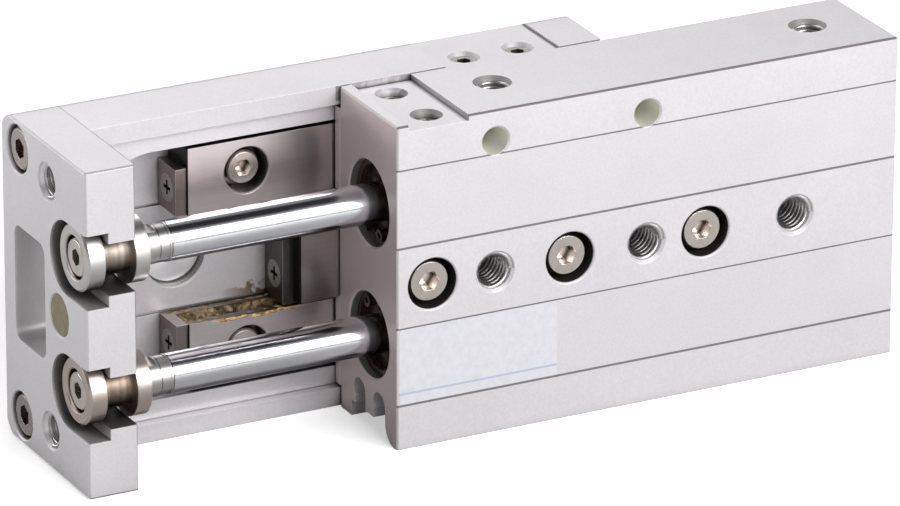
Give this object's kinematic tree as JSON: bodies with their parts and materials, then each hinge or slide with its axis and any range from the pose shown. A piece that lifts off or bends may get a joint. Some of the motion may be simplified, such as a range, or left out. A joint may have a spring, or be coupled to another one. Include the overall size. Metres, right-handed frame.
{
  "type": "pneumatic slide table",
  "caption": "Compact air slide table: a twin-bore cylinder body drives a channel-shaped table on a crossed roller guide through two rods and an end plate.",
  "frame": {"origin": "centre of the footprint of the whole table in its extended rest pose, on the plane of its lower long edge", "axes": "+X along the stroke towards the head end of the body (the table moves in along +X), +Y from the body's front face to the table's mounting face, +Z across the two bores towards the air ports"},
  "size_m": [0.1396, 0.035, 0.054],
  "materials": {
    "body_aluminium": "bead blasted and clear anodised",
    "plate_aluminium": "bead blasted and clear anodised",
    "turned_aluminium": "turned, clear anodised",
    "guide_steel": "hardened and ground",
    "stop_steel": "sawn and ground plate",
    "nickel_screw": "nickel plated",
    "small_screw": "zinc plated",
    "set_screw_steel": "zinc plated",
    "ring_steel": "oiled spring steel",
    "rod_chrome": "hard chrome, ground and polished",
    "bush_steel": "turned stainless steel",
    "seal_rubber": "black nitrile rubber",
    "bumper_rubber": "olive urethane rubber",
    "magnet_ferrite": "bonded ferrite",
    "cage_brass": "stamped strip",
    "roller_steel": "hardened and polished"
  },
  "bodies": {
    "cylinder": {"cylinder_body": "body_aluminium", "rod_covers": "turned_aluminium", "rod_cover_rings": "ring_steel", "rod_seals": "seal_rubber", "rod_cover_seals": "seal_rubber", "head_caps": "turned_aluminium", "head_cap_rings": "ring_steel", "head_cap_seals": "seal_rubber", "centre_rail": "guide_steel", "rail_screws": "nickel_screw", "rail_stop_plates": "stop_steel", "rail_stop_screws": "small_screw", "passage_plugs": "set_screw_steel"},
    "table": {"slide_table": "body_aluminium", "end_plate": "plate_aluminium", "end_plate_screws": "nickel_screw", "end_bumper": "bumper_rubber", "upper_guide": "guide_steel", "lower_guide": "guide_steel", "guide_screws": "nickel_screw", "guide_stop_plates": "stop_steel", "guide_stop_screws": "small_screw", "preload_screws": "set_screw_steel", "upper_bush": "bush_steel", "lower_bush": "bush_steel", "bush_screws": "nickel_screw", "upper_rod": "rod_chrome", "lower_rod": "rod_chrome", "pistons": "turned_aluminium", "piston_seals": "seal_rubber", "piston_magnets": "magnet_ferrite"},
    "upper_cage": {"upper_cage": "cage_brass", "upper_rollers": "roller_steel"},
    "lower_cage": {"lower_cage": "cage_brass", "lower_rollers": "roller_steel"}
  },
  "joints": [
    {"name": "table_slide", "type": "slide", "parent": "cylinder", "child": "table", "axis": [1, 0, 0], "range_m": [0, 0.04]},
    {"name": "upper_cage_slide", "type": "slide", "parent": "cylinder", "child": "upper_cage", "axis": [1, 0, 0], "range_m": [0, 0.02]},
    {"name": "lower_cage_slide", "type": "slide", "parent": "cylinder", "child": "lower_cage", "axis": [1, 0, 0], "range_m": [0, 0.02]}
  ],
  "couplings": [
    {"joint": "upper_cage_slide", "follows": "table_slide", "ratio": 0.5},
    {"joint": "lower_cage_slide", "follows": "table_slide", "ratio": 0.5}
  ]
}
